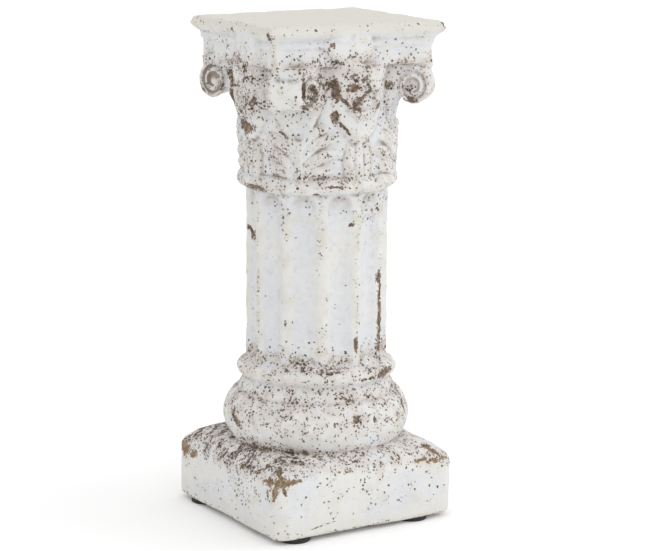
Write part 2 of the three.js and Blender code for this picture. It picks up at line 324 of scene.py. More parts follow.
# fluted shaft: one flute drawn from ridge to ridge, pulled up and repeated round the axis
def makeShaft():
    span = fullTurn / shaft["flutes"]

    def fluted(x, y, z):                            # hollow between two flat fillets, round at the top
        angle = math.atan2(y, x)
        across = min(1, abs(2 * angle / span - 1) / (1 - shaft["filletShare"]))
        arch = shaft["archTop"] - shaft["archDrop"] * across * across
        deep = shaft["fluteDepth"] * (1 - across ** 2.6) * (1 - smoothStep(z, arch - shaft["archFade"], arch))
        radius = shaft["radius"] - deep
        return (radius * math.cos(angle), radius * math.sin(angle), z)

    angles = [span * i / shaft["chain"] for i in range(shaft["chain"] + 1)]
    height = shaft["low"]
    drawLine("shaft", [(shaft["radius"] * math.cos(a), shaft["radius"] * math.sin(a), height) for a in angles])
    moveSelected(fluted)
    for level in shaft["levels"]:
        bpy.ops.mesh.extrude_region_move(TRANSFORM_OT_translate={"value": (0, 0, (level - height) * mm)})
        moveSelected(fluted)
        height = level
    bpy.ops.mesh.select_all(action="SELECT")
    bpy.ops.mesh.spin(steps=shaft["flutes"], dupli=True, angle=fullTurn, center=(0, 0, 0), axis=(0, 0, 1))
    cleanSkin()
    bpy.ops.mesh.fill_holes(sides=0)
    cleanSkin()
    return turnAndPlace(doneEditing(), shaft["turn"], offCentre)


# abacus: block, fillet and flared lip, set a few degrees off the plinth's square
abacus = dict(low=266.2, blockTop=277.2, filletTop=281.2, lip=286.4, top=290, softEdge=0.8,
              blockHalf=49.5, filletHalf=51.4, lipHalf=54.6, topHalf=52.6, corner=1.8, turn=-5.5,
              tipPull=1.6, tipStart=40,                              # the lip's corners are drawn out a little
              sag=0.02, sagSide=(-0.85, 0.53))                       # one corner has sunk in the mould


def makeAbacus():
    low, half = abacus["low"], abacus["blockHalf"]
    deselectAll()
    bpy.ops.mesh.primitive_cube_add(size=2 * half * mm, location=(0, 0, 0))
    startEditing("abacus")
    tall = abacus["blockTop"] - low
    bpy.ops.transform.resize(value=(1, 1, tall / (2 * half)))
    bpy.ops.transform.translate(value=(0, 0, (low + tall / 2) * mm))
    edge = (half - 0.01) * mm
    selectWhere("EDGE", lambda e: all(abs(v.co.x) > edge and abs(v.co.y) > edge for v in e.verts))
    bpy.ops.mesh.bevel(offset=abacus["corner"] * mm, segments=4)
    selectWhere("EDGE", lambda e: all(v.co.z < (low + 0.01) * mm for v in e.verts))
    bpy.ops.mesh.bevel(offset=abacus["softEdge"] * mm, segments=2)
    selectWhere("FACE", lambda face: face.normal.z > 0.9)
    steps = [(abacus["filletHalf"], abacus["blockTop"] + abacus["softEdge"] / 2),
             (abacus["filletHalf"], abacus["filletTop"])]
    for share in (0.2, 0.4, 0.6, 0.8, 1):                          # the lip flares out in a hollow curve
        flare = mix(abacus["filletHalf"], abacus["lipHalf"], math.sin(share * math.pi / 2))
        steps.append((flare, mix(abacus["filletTop"], abacus["lip"], share)))
    steps.append((mix(abacus["lipHalf"], abacus["topHalf"], 0.25), mix(abacus["lip"], abacus["top"], 0.7)))
    steps.append((abacus["topHalf"], abacus["top"]))
    reached, height = half, abacus["blockTop"]
    for newHalf, newHeight in steps:
        bpy.ops.mesh.extrude_region_move(TRANSFORM_OT_translate={"value": (0, 0, (newHeight - height) * mm)})
        bpy.ops.transform.resize(value=(newHalf / reached, newHalf / reached, 1))
        reached, height = newHalf, newHeight

    def drawnOut(x, y, z):
        share = smoothStep(min(abs(x), abs(y)), abacus["tipStart"], abacus["lipHalf"])
        share *= smoothStep(z, abacus["filletTop"], abacus["lip"])
        sunk = abacus["sag"] * max(0, x * abacus["sagSide"][0] + y * abacus["sagSide"][1])
        pull = abacus["tipPull"]
        return (x + math.copysign(pull, x) * share, y + math.copysign(pull, y) * share, z - sunk)
    bpy.ops.mesh.select_all(action="SELECT")
    moveSelected(drawnOut)
    cleanSkin()
    return turnAndPlace(doneEditing(), abacus["turn"])


# flower on an abacus side: a worn, lopsided lump of petals, not quite in the middle of its side
flower = dict(height=277.5, face=50.4, sides=[0, 0, 17, -4],          # sides: how far along each side it sits
              petals=[dict(along=0, up=1, wide=15, tall=11, proud=3.2),
                      dict(along=-8.5, up=0.5, wide=7, tall=5.5, proud=2.6),
                      dict(along=-3.5, up=5.5, wide=8, tall=5, proud=3.7),
                      dict(along=5.5, up=4.5, wide=8.5, tall=5.5, proud=4.2),
                      dict(along=8.5, up=-2.5, wide=6.5, tall=5.5, proud=2.6),
                      dict(along=3, up=-6.5, wide=6.5, tall=5, proud=3.2),
                      dict(along=-4.5, up=-5.5, wide=6, tall=5, proud=3.4),
                      dict(along=-0.5, up=-0.5, wide=5.5, tall=4, proud=3.8)])


def makeFlowers():
    petals = []
    for petal in flower["petals"]:
        deselectAll()
        bpy.ops.mesh.primitive_uv_sphere_add(segments=20, ring_count=12, radius=mm)
        startEditing("petal")
        moveSelected(lambda x, y, z: (flower["face"] + x * petal["proud"], petal["along"] + y * petal["wide"],
                                      flower["height"] + petal["up"] + z * petal["tall"]))
        petals.append(doneEditing())
    flowers = fourTimes(joinAll("flower", petals), abacus["turn"])
    for side, along in enumerate(flower["sides"]):
        angle = math.radians(abacus["turn"] + 90 * side)
        turnAndPlace(flowers[side], 0, (-along * math.sin(angle), along * math.cos(angle)))
    return flowers


# a place on the bell: arc length off the middle, height, lift
def onBell(along, z, lift):
    radius = bellRadius(z)
    angle = along / radius
    return ((radius + lift) * math.cos(angle), (radius + lift) * math.sin(angle), z)


# points of a bent line over the bell, with the lift running from one end to the other
def bentLine(first, bend, last, lifts, count):
    points = []
    for i in range(count + 1):
        s = i / count
        along = (1 - s) ** 2 * first[0] + 2 * s * (1 - s) * bend[0] + s * s * last[0]
        z = (1 - s) ** 2 * first[1] + 2 * s * (1 - s) * bend[1] + s * s * last[1]
        points.append(onBell(along, z, mix(lifts[0], lifts[1], s)))
    return points


# leaf under a corner scroll: lobes rise from a midrib and bend outwards like a fountain
cornerLeaf = dict(low=202.5, midribTop=224, midribRadius=2.4,
                  lobes=[dict(start=202, tip=(20, 207.5)), dict(start=206, tip=(26, 217.5)),
                         dict(start=213, tip=(23, 226)), dict(start=219, tip=(16.5, 231))],
                  lobeRadius=3.5, tipRadius=1.2, startLift=0.2, tipLift=-1.2)


def makeCornerLeaves():
    leaf = cornerLeaf
    pieces = [stem("midrib", [onBell(0, mix(leaf["low"], leaf["midribTop"], s), 1.6) for s in (0, 0.3, 0.6, 0.85, 1)],
                   [leaf["midribRadius"]] * 4 + [1.2])]
    for side in (-1, 1):
        for lobe in leaf["lobes"]:
            wide, high = lobe["tip"]
            points = bentLine((side * 1.5, lobe["start"]), (side * wide * 0.35, high + 1), (side * wide, high),
                              (leaf["startLift"], leaf["tipLift"]), 5)
            radius, tip = leaf["lobeRadius"], leaf["tipRadius"]
            pieces.append(stem("lobe", points, [radius * 0.75, radius * 0.9, radius, radius, radius * 0.8, tip]))
    return fourTimes(joinAll("cornerLeaf", pieces), 45, offCentre)


# narrow leaf below the middle of a side: upright ribs
faceLeaf = dict(low=202.5, high=224, halfWidth=7.5, ribs=3, ribRadius=3.1, lift=0)


def makeFaceLeaves():
    pieces = []
    for number in range(faceLeaf["ribs"]):
        across = number - (faceLeaf["ribs"] - 1) / 2
        top = faceLeaf["high"] - 2.5 * abs(across)
        spread = [0.62, 0.72, 0.8, 0.76, 0.62]
        points = [onBell(across * faceLeaf["halfWidth"] * s, mix(faceLeaf["low"], top, i / 4), faceLeaf["lift"])
                  for i, s in enumerate(spread)]
        radius = faceLeaf["ribRadius"]
        pieces.append(stem("rib", points, [radius, radius, radius, radius * 0.9, radius * 0.6]))
    return fourTimes(joinAll("faceLeaf", pieces), 0, offCentre)


# tongue between two scrolls: a round-tipped panel that flares out towards the abacus, with a lyre of two stems
tongue = dict(low=223, high=267, halfWidth=19, thick=3.2, flare=2.4, roundness=2.4, deep=7, softSides=1)
lyre = dict(low=238, high=261, spread=8, radius=2.3, lift=3.4, gap=2.5)


def makeTongues():
    deselectAll()
    bpy.ops.mesh.primitive_grid_add(x_subdivisions=18, y_subdivisions=24, size=2 * mm)
    startEditing("tongue")

    def laid(x, y, z):
        share = (y + 1) / 2
        height = mix(tongue["low"], tongue["high"], share)
        half = tongue["halfWidth"] * math.sqrt(1 - (1 - max(share, 0.02)) ** tongue["roundness"])
        lift = tongue["thick"] + tongue["flare"] * share * share
        return onBell(x * half, height, lift * (1 - tongue["softSides"] * abs(x) ** 3))
    moveSelected(laid)
    doneEditing()
    useModifier("SOLIDIFY", thickness=tongue["deep"] * mm, offset=-1)
    pieces = [bpy.context.object]
    for side in (-1, 1):
        wide, waist = side * lyre["spread"], mix(lyre["low"], lyre["high"], 0.6)
        lifts = (lyre["lift"], lyre["lift"])
        opening = bentLine((0, lyre["low"]), (wide * 1.5, lyre["low"] + 4), (wide, waist), lifts, 4)
        closing = bentLine((wide, waist), (wide * 0.7, lyre["high"] + 1), (side * lyre["gap"], lyre["high"] - 4),
                           lifts, 3)
        radius = lyre["radius"]
        thickness = [radius * s for s in (1.1, 1.1, 1, 1, 1, 0.9, 0.8, 0.6)]
        pieces.append(stem("lyreStem", opening + closing[1:], thickness))
    return fourTimes(joinAll("tongue", pieces), 0, offCentre)


# corner scroll: a stalk that rolls over at the top, its end faces splayed inwards
scroll = dict(reach=59.8, height=252.9, radius=11.8, squash=0.84, outerHalfWidth=8.8, splay=20, recess=2.4,
              turns=1.8, rollStart=0.14, rollEnd=0.72, band=2.1, eye=2.1, stemLow=219, stemInside=38,
              webReach=68, webSunk=1,
              shifts=[(-0.6, 0.4), (1.8, -1), (-0.6, 0.4), (-0.6, 0.4)])   # none sits quite true on its corner


def scrollHalfWidth(reach, z):
    inward = scroll["reach"] + scroll["radius"] - reach
    splayed = scroll["outerHalfWidth"] + inward * math.tan(math.radians(scroll["splay"]))
    return splayed * mix(0.12, 1, smoothStep(z, scroll["stemLow"], scroll["height"] - scroll["radius"]))


# a side view drawn in reach and height, pulled across the corner
def acrossCorner(name, sideView, proud):
    drawLine(name, [(reach, -1, z) for reach, z in sideView], closed=True)
    bpy.ops.mesh.extrude_region_move(TRANSFORM_OT_translate={"value": (0, 2 * mm, 0)})
    bpy.ops.mesh.select_all(action="SELECT")
    moveSelected(lambda x, y, z: (x, y * (scrollHalfWidth(x, z) + proud), z))
    cleanSkin()
    return doneEditing()


def makeScrolls():
    def rollPoint(radius, angle):
        outward = radius * scroll["squash"] * math.cos(angle)
        return (scroll["reach"] + outward, scroll["height"] + radius * math.sin(angle))

    def bandRadius(turn):
        return mix(scroll["radius"], scroll["eye"] + scroll["band"], turn / scroll["turns"])

    def bandAngle(turn):
        return math.pi / 2 - turn * fullTurn

    under, foot = 0.5, bellRadius(scroll["stemLow"])
    rolled = [mix(scroll["rollStart"], scroll["rollEnd"], i / 20) for i in range(21)]
    web = abacus["low"] + scroll["webSunk"]                        # a web joins the roll to the abacus above it
    stalkView = [(scroll["stemInside"], web), (scroll["webReach"], web)]
    stalkView += [rollPoint(bandRadius(turn) - under, bandAngle(turn)) for turn in rolled]
    stalkView += [(scroll["reach"] - scroll["radius"] * 1.1, scroll["height"] - scroll["radius"]),
                  (foot + 1.8, scroll["stemLow"] + 10), (foot + 0.4, scroll["stemLow"]),
                  (scroll["stemInside"], scroll["stemLow"])]
    winding = [scroll["turns"] * i / 52 for i in range(53)]
    outer = [rollPoint(bandRadius(turn), bandAngle(turn)) for turn in winding]
    inner = [rollPoint(bandRadius(turn) - scroll["band"], bandAngle(turn)) for turn in winding]
    eyeView = [rollPoint(scroll["eye"], fullTurn * i / 14) for i in range(14)]
    pieces = [acrossCorner("stalk", stalkView, -scroll["recess"]), acrossCorner("band", outer + inner[::-1], 0),
              acrossCorner("eye", eyeView, 0.4)]
    scrolls = fourTimes(joinAll("scroll", pieces), 45)
    for corner, shift in zip(scrolls, scroll["shifts"]):
        turnAndPlace(corner, 0, shift)
    return scrolls


# the casting: all forms fused into one soft-edged skin, then lumped, worn and flaked
casting = dict(voxel=0.6, softening=4, crispScrolls=0.3, topSoftening=12, triangles=190000,
               lumpSize=14, lump=1.2, grainSize=3.2, grain=0.45,
               wearSize=6, wear=1.6, wearFrom=0.35, wearLow=8, wearOnLip=0.4, leastWear=0.03, topBand=0.5,
               hollowRounds=24, hollowDepth=0.45, flake=0.7)

# places where the paint has flaked off, and a few brown marks that are painted shade: angle round the axis in
# degrees, height, half width and half height
# lean: how far it runs sideways for each millimetre up, broken: how much paint is left on it
flakesAndShadeMarks = [
    dict(place="plinth front corner", angle=224.5, height=36.6, wide=6.2, tall=3),
    dict(place="its left arm", angle=219, height=35.6, wide=4.4, tall=2.4),
    dict(place="its right arm", angle=228.4, height=36.7, wide=4.6, tall=1.5),
    dict(place="its right tip", angle=230.4, height=36.9, wide=4, tall=0.9),
    dict(place="its upper arm", angle=223, height=40.2, wide=1.7, tall=3, lean=-0.3),
    dict(place="its lower arm", angle=222.6, height=30.5, wide=1.8, tall=5.5, lean=0.2),
    dict(place="its short arm", angle=226.6, height=32, wide=1.1, tall=3, lean=-0.4),
    dict(place="beside the lower arm", angle=218.4, height=28, wide=1, tall=3.2),
    dict(place="crack low on the right", angle=242, height=8.5, wide=2.4, tall=2.4, lean=5, broken=0.25),
    dict(place="scrape near the right corner", angle=305, height=12, wide=2, tall=1.8, lean=5, broken=0.5),
    dict(place="plinth left corner", angle=140, height=32, wide=5, tall=7.5, broken=0.15),
    dict(place="its lobe", angle=147, height=31, wide=4.5, tall=2.8),
    dict(place="plinth right corner", angle=309, height=35.4, wide=7.5, tall=3, broken=0.4),
    dict(place="its left run", angle=302, height=36.9, wide=7, tall=1.8, broken=0.4),
    dict(place="its upper edge", angle=311, height=40.5, wide=3, tall=5, broken=0.25),
    dict(place="below it", angle=304, height=29.3, wide=1.2, tall=1.2),
    dict(place="plinth right edge", angle=257, height=37, wide=7, tall=2.4, lean=3, broken=0.6),
    dict(place="plinth back corner", angle=46, height=37, wide=6, tall=4.5),
    dict(place="torus foot left", angle=197, height=46, wide=34, tall=2.4, broken=0.62),
    dict(place="torus left", angle=181, height=59.5, wide=6, tall=8, lean=-1.6, broken=0.5),
    dict(place="above it", angle=175, height=64, wide=4, tall=3.5, broken=0.3),
    dict(place="torus front", angle=265, height=65, wide=2.6, tall=2.8),
    dict(place="torus right", angle=278.5, height=63.6, wide=1.8, tall=2.4),
    dict(place="torus far right", angle=312, height=66, wide=1.2, tall=4.5),
    dict(place="torus back", angle=60, height=63, wide=3, tall=5, lean=1),
    dict(place="lower ring right", angle=301, height=87, wide=11, tall=3.2),
    dict(place="dash beside it", angle=283, height=86, wide=3.4, tall=1.2),
    dict(place="next dash", angle=275.5, height=86, wide=2.6, tall=1),
    dict(place="fillet right", angle=302.6, height=121, wide=2.4, tall=26),
    dict(place="its upper end", angle=301.6, height=142, wide=2.8, tall=5),
    dict(place="its lower end", angle=302, height=101.5, wide=2.6, tall=4.5),
    dict(place="fillet front", angle=273.6, height=105.5, wide=1.5, tall=5.5),
    dict(place="spot on it", angle=269, height=175.6, wide=1.8, tall=1.4),
    dict(place="fillet second", angle=214, height=119, wide=1.1, tall=2),
    dict(place="fillet left", angle=165, height=165, wide=3.4, tall=2.8),
    dict(place="its left arm", angle=158, height=168.4, wide=2, tall=3, lean=-1),
    dict(place="its right arm", angle=168.5, height=168.4, wide=1, tall=2.8, lean=0.4),
    dict(place="under upper ring", angle=187, height=195.4, wide=10, tall=2.4),
    dict(place="under ring front", angle=239, height=193.8, wide=2.2, tall=1.3),
    dict(place="upper ring dashes", angle=252, height=198.8, wide=15, tall=1.6, broken=0.6),
    dict(place="tongue upper left", angle=250.5, height=256.5, wide=4, tall=3.2),
    dict(place="tongue left run", angle=252, height=250.5, wide=2.2, tall=6),
    dict(place="tongue middle", angle=263.5, height=254.3, wide=5, tall=2.8),
    dict(place="tongue hollow", angle=266, height=245, wide=5.5, tall=4.2),
    dict(place="its right arm", angle=271.5, height=250, wide=1.9, tall=4.5, lean=0.9),
    dict(place="its left arm", angle=257, height=247, wide=1.8, tall=4, lean=-1.1),
    dict(place="tongue edge high", angle=252.2, height=238, wide=2.2, tall=4.2),
    dict(place="tongue edge low", angle=259, height=231.5, wide=1.3, tall=4, lean=-0.8),
    # painted shade: these three dark brown marks fill the shadowed gap beside the left tongue's edge
    dict(place="left tongue edge, high", angle=154.5, height=254, wide=2.8, tall=10, lean=-0.1),
    dict(place="left tongue edge, middle", angle=157, height=242, wide=5.5, tall=8, lean=-0.3),
    dict(place="left tongue edge, low", angle=163, height=234, wide=9, tall=6, lean=-0.6),
    dict(place="left tongue tip", angle=174, height=230, wide=12, tall=5),
    dict(place="left tongue spots", angle=184, height=245, wide=7, tall=11, broken=0.75),
    dict(place="leaf groove", angle=214, height=229, wide=3.5, tall=5, lean=-1.3, broken=0.5),
    # partly painted shade: a brown flake line in the shaded undercut beneath the front roll
    dict(place="under the front roll", angle=228, height=243, wide=14, tall=1.3, broken=0.35),
    dict(place="beside the front roll", angle=209.5, height=260.6, wide=2.4, tall=3),
    dict(place="over the left flower", angle=180, height=285, wide=9, tall=4, broken=0.72),
    dict(place="beside the right flower", angle=249, height=278.6, wide=3.5, tall=3, broken=0.45),
    dict(place="under the right flower", angle=259, height=272, wide=7, tall=2.6, broken=0.6),
    dict(place="front roll rim", angle=232.6, height=255, wide=1, tall=7, broken=0.15),
    dict(place="front roll rim, low", angle=232.8, height=245.4, wide=1.4, tall=2.6),
    dict(place="roll end, front", angle=238, height=253, wide=6.5, tall=9, broken=0.7),
    dict(place="right roll rim", angle=303, height=246, wide=2, tall=2),
    dict(place="right roll neck", angle=296, height=254, wide=2, tall=2.6),
    dict(place="abacus front corner", angle=218, height=284, wide=1.7, tall=3.6),
    dict(place="abacus right tip", angle=309.5, height=287.5, wide=2, tall=1.4),
    dict(place="abacus left tip", angle=129.5, height=286.5, wide=2, tall=1.6),
]

# how thickly the pits lie at each height, all the way round, and where there are more of them
pitting = dict(
    byHeight=[(2, 0.06), (30, 0.1), (35, 0.22), (38, 0.6), (46, 0.8), (48, 0.4),             # plinth
              (52, 0.18), (57, 0.36), (62, 0.66), (68, 0.72), (72, 0.68),                    # torus
              (73, 0.8), (78, 0.76), (82, 0.5), (84, 0.12), (89.4, 0.14), (91.4, 0.9),       # neck and ring
              (97, 0.9), (103, 0.4), (110, 0.04), (176, 0.04), (186, 0.2), (192, 0.14),      # shaft
              (200, 0.34), (215, 0.27), (235, 0.26), (250, 0.36), (262, 0.45),               # capital
              (270, 0.26), (280, 0.1), (285, 0.05), (289, 0)],                               # abacus
    more=[dict(angle=175, height=42, wide=75, tall=13, extra=0.9),
          dict(angle=282, height=38.5, wide=55, tall=5, extra=0.1),
          dict(angle=200, height=24, wide=26, tall=12, extra=0.26),
          dict(angle=272, height=22, wide=44, tall=12, extra=0.14),
          dict(angle=182, height=252, wide=28, tall=26, extra=0.6),
          dict(angle=263, height=266, wide=26, tall=12, extra=0.22),
          dict(angle=262, height=254, wide=20, tall=14, extra=0.3),
          dict(angle=239, height=253, wide=9, tall=12, extra=0.6),
          dict(angle=240, height=269, wide=18, tall=9, extra=0.2),
          dict(angle=290, height=255, wide=22, tall=16, extra=0.25),
          dict(angle=222, height=253, wide=11, tall=11, extra=-0.2),    # a smoother roll
          dict(angle=245, height=203, wide=34, tall=4, extra=0.45),
          dict(angle=195, height=215, wide=24, tall=12, extra=0.2),
          dict(angle=292, height=182, wide=18, tall=12, extra=0.3),
          dict(angle=184, height=148, wide=1.6, tall=58, extra=0.5),    # along the fillets
          dict(angle=274, height=140, wide=1.4, tall=58, extra=0.3),
          dict(angle=243, height=172, wide=2.6, tall=36, extra=0.25),
          dict(angle=213.5, height=178, wide=3.5, tall=24, extra=0.35)],
    onRidges=0.5, ridgeFrom=0.25, onShaft=0.3, onLip=0.5)

# darker bands and darker hollows, partly dirt and partly painted shade: at the foot and the head of the flutes, a
# painted shadow line along the ledge over the torus, deeper painted shade among the leaves and in the scrolls
dirtAndShade = dict(byHeight=[(71.8, 0), (73.2, 0.45), (74.6, 0), (89, 0), (92, 0.25), (96, 0.35), (102, 0),
                      (180, 0), (190, 0.4), (194, 0.3), (197, 0)],
            inLeaves=1.4, leavesLow=203, leavesHigh=240, inScrolls=1.8, scrollReach=53, scrollLow=238,
            wornScroll=315, wornSpan=25)            # the scroll that is worn soft and gets no extra painted shade in its hollows


def angleApart(angles, degrees):
    return (angles - math.radians(degrees) + math.pi) % fullTurn - math.pi


# 1 in the middle of a spot, 0 at its edge, below that outside
def spotField(points, spot):
    around = np.arctan2(points[:, 1], points[:, 0])
    reach = np.hypot(points[:, 0], points[:, 1]) / mm
    upwards = points[:, 2] / mm - spot["height"]
    sideways = angleApart(around, spot["angle"]) * reach - spot.get("lean", 0) * upwards
    return 1 - spot.get("broken", 0) - np.hypot(sideways / spot["wide"], upwards / spot["tall"])


def readPoints(mesh, what):
    values = np.zeros(len(mesh.vertices) * 3)
    mesh.vertices.foreach_get(what, values)
    return values.reshape(-1, 3)


# how far each point lies under (+) or above (-) the skin averaged over its surroundings
def hollowField(mesh):
    points, normals = readPoints(mesh, "co"), readPoints(mesh, "normal")
    ends = np.zeros(len(mesh.edges) * 2, int)
    mesh.edges.foreach_get("vertices", ends)
    first, second = ends[0::2], ends[1::2]
    count = len(points)
    links = np.bincount(first, minlength=count) + np.bincount(second, minlength=count)
    even = points.copy()
    for turn in range(casting["hollowRounds"]):
        for axis in range(3):
            column = even[:, axis]
            total = np.bincount(first, column[second], count) + np.bincount(second, column[first], count)
            even[:, axis] = total / links
    return np.einsum("ij,ij->i", even - points, normals) / (casting["hollowDepth"] * mm)


# a value for each height, from a short list of heights and shares
def readTable(heights, table):
    return np.interp(heights, [z for z, share in table], [share for z, share in table])


def keepField(mesh, name, values):
    mesh.attributes.new(name, "FLOAT", "POINT").data.foreach_set("value", values.astype(np.float32))


def lumpTexture(name, size, depth):
    texture = bpy.data.textures.new(name, "CLOUDS")
    texture.noise_scale = size * mm
    texture.noise_depth = depth
    return texture


def makeColumn():
    forms = [makePlinth(), makeCore(), makeShaft(), makeAbacus(), *makeFlowers()]
    forms += [*makeCornerLeaves(), *makeFaceLeaves(), *makeTongues(), *makeScrolls()]
    column = joinAll("paintedColumn", forms)
    print("forms joined:", len(column.data.polygons), "faces")
    useModifier("REMESH", mode="VOXEL", voxel_size=casting["voxel"] * mm)
    startEditing("paintedColumn")
    selectWhere("VERT", lambda point: point.co.z > (abacus["top"] - casting["topBand"]) * mm)
    bpy.ops.mesh.select_linked()
    bpy.ops.mesh.select_all(action="INVERT")                       # small closed pockets inside the casting
    bpy.ops.mesh.delete(type="VERT")
    doneEditing()
    mesh = column.data
    print("cast in one skin:", len(mesh.polygons), "faces")

    points = readPoints(mesh, "co") / mm
    heights = points[:, 2]
    reach, around = np.hypot(points[:, 0], points[:, 1]), np.arctan2(points[:, 1], points[:, 0])
    inScrolls = (reach > dirtAndShade["scrollReach"]) & (heights > dirtAndShade["scrollLow"]) & (heights < abacus["low"])
    wornScroll = inScrolls & (np.abs(angleApart(around, dirtAndShade["wornScroll"])) < math.radians(dirtAndShade["wornSpan"]))
    group = column.vertex_groups.new(name="softSkin")    # the scrolls are the crispest, the abacus is the softest
    group.add(np.nonzero(~inScrolls)[0].tolist(), 1, "REPLACE")
    group.add(np.nonzero(inScrolls)[0].tolist(), casting["crispScrolls"], "REPLACE")
    useModifier("SMOOTH", factor=0.5, iterations=casting["softening"], vertex_group="softSkin")
    group = column.vertex_groups.new(name="softTop")               # one scroll is worn as soft as the top
    group.add(np.nonzero((heights > abacus["low"] + 1) | wornScroll)[0].tolist(), 1, "REPLACE")
    useModifier("SMOOTH", factor=0.5, iterations=casting["topSoftening"], vertex_group="softTop")

    edges = np.clip(-hollowField(mesh) - casting["wearFrom"], 0, 1)     # sharp edges are worn down unevenly
    wearShare = np.where(heights > abacus["filletTop"], casting["wearOnLip"], 1)
    edges *= np.where(heights < casting["wearLow"], 0, wearShare)
    group = column.vertex_groups.new(name="wornEdges")
    for index in np.nonzero(edges > casting["leastWear"])[0]:
        group.add([int(index)], float(edges[index]), "REPLACE")
    wearTexture = lumpTexture("edgeWear", casting["wearSize"], 1)
    useModifier("DISPLACE", texture=wearTexture, strength=casting["wear"] * mm, mid_level=0.75,
                vertex_group="wornEdges")
    lumps = lumpTexture("castLumps", casting["lumpSize"], 1)
    useModifier("DISPLACE", texture=lumps, strength=casting["lump"] * mm, mid_level=0.5)
    grains = lumpTexture("castGrain", casting["grainSize"], 2)
    useModifier("DISPLACE", texture=grains, strength=casting["grain"] * mm, mid_level=0.5)
    column.vertex_groups.clear()

    points = readPoints(mesh, "co")
    flaked = np.max([spotField(points, chip) for chip in flakesAndShadeMarks], axis=0)
    hollow = hollowField(mesh)
    depth = casting["flake"] * np.clip(flaked * 2, 0, 1) * mm      # flaked places lie a little deeper
    points -= readPoints(mesh, "normal") * depth[:, None]
    points[:, 2] = np.minimum(points[:, 2], abacus["top"] * mm)
    mesh.vertices.foreach_set("co", points.ravel())
    pits = readTable(points[:, 2] / mm, pitting["byHeight"])
    for patch in pitting["more"]:
        pits += patch["extra"] * np.clip(spotField(points, patch) * 2, 0, 1)
    onShaft = (heights > core["lowerRing"][-1][1]) & (heights < core["upperRingLow"])
    onLip = heights > abacus["filletTop"]
    fewer = np.where(onShaft, pitting["onShaft"], np.where(onLip, pitting["onLip"], 1))
    pits += pitting["onRidges"] * np.clip(-hollow - pitting["ridgeFrom"], 0, 1) * fewer
    # painted shade, partly dirt: the hollows among the leaves and in the scrolls, all but the worn one, count deeper,
    # and the darker bands by height are added
    inLeaves = (heights > dirtAndShade["leavesLow"]) & (heights < dirtAndShade["leavesHigh"])
    hollow = np.where(inLeaves & (hollow > 0), hollow * dirtAndShade["inLeaves"], hollow)
    hollow = np.where(inScrolls & ~wornScroll & (hollow > 0), hollow * dirtAndShade["inScrolls"], hollow)
    hollow += readTable(points[:, 2] / mm, dirtAndShade["byHeight"])
    keepField(mesh, "flaked", np.clip(flaked, -2, 1))
    keepField(mesh, "hollow", np.clip(hollow, -2, 2))
    keepField(mesh, "pits", np.clip(pits, 0, 1.2))
    mesh.update()
    print("worn and flaked")

    mesh.calc_loop_triangles()
    useModifier("DECIMATE", ratio=casting["triangles"] / len(mesh.loop_triangles))
    bpy.ops.object.shade_smooth()
    print("casting finished:", len(mesh.polygons), "faces")
    return column


# materials

def hexColour(text):
    channels = [int(text[i:i + 2], 16) / 255 for i in (1, 3, 5)]
    return [*(c / 12.92 if c <= 0.04045 else ((c + 0.055) / 1.055) ** 2.4 for c in channels), 1]


# adds a node, sets its settings and fills or links its inputs
def node(tree, kind, inputs=None, **settings):
    added = tree.nodes.new(kind)
    for name, value in settings.items():
        setattr(added, name, value)
    for name, value in (inputs or {}).items():
        if isinstance(value, bpy.types.NodeSocket):
            tree.links.new(value, added.inputs[name])
        else:
            added.inputs[name].default_value = value
    return added


# the nodes used most: noise with a grain in millimetres, one range spread over another, two colours mixed, a sum
def noise(tree, place, size, detail, roughness=0.5, output="Fac"):
    inputs = {"Vector": place, "Scale": 1 / (size * mm), "Detail": detail, "Roughness": roughness}
    return node(tree, "ShaderNodeTexNoise", inputs).outputs[output]


def spread(tree, value, fromLow, fromHigh, toLow=0, toHigh=1):
    inputs = {"Value": value, "From Min": fromLow, "From Max": fromHigh, "To Min": toLow, "To Max": toHigh}
    return node(tree, "ShaderNodeMapRange", inputs).outputs[0]


def blend(tree, share, first, second):                             # colours as hex text or from another node
    first, second = [hexColour(end) if isinstance(end, str) else end for end in (first, second)]
    return node(tree, "ShaderNodeMix", {0: share, 6: first, 7: second}, data_type="RGBA").outputs[2]


def reckon(tree, operation, *values):
    return node(tree, "ShaderNodeMath", dict(enumerate(values)), operation=operation).outputs[0]


def newMaterial(name):
    material = bpy.data.materials.new(name)
    material.use_nodes = True
    material.node_tree.nodes.clear()
    return material, material.node_tree


# cast stone, painted white and rubbed: chalky paint, brown stone in flakes and pits, warm grime in the hollows
# together with painted shade there (cool grey, beige, dark brown in the creases)
stone = dict(paint="#DEDDDA", coolPaintAndShade="#D8DADD", creamPaint="#D5D1C7", rosyPaint="#CFC7C2", grimeAndShade="#B9AEA1",
             creaseShade="#7F6F62", washed="#A39282", stone="#7A6757", stoneDark="#4A3D34", ochre="#8A7250",
             pit="#85776C", pitDark="#40362F", warpSize=1, warp=0.95, blotch=2.6, patch=32, cloud=8,
             grain=0.7, brush=2.4, ragged=4.2, crumb=1.3,
             smallPits=dict(size=1.5, share=1, smallest=0.2, largest=0.54),
             largePits=dict(size=3.2, share=0.5, smallest=0.12, largest=0.36),
             handled=(283, 288), foot=(17, 7), ochreHeights=(50, 36))   # where yellow and ochre set in


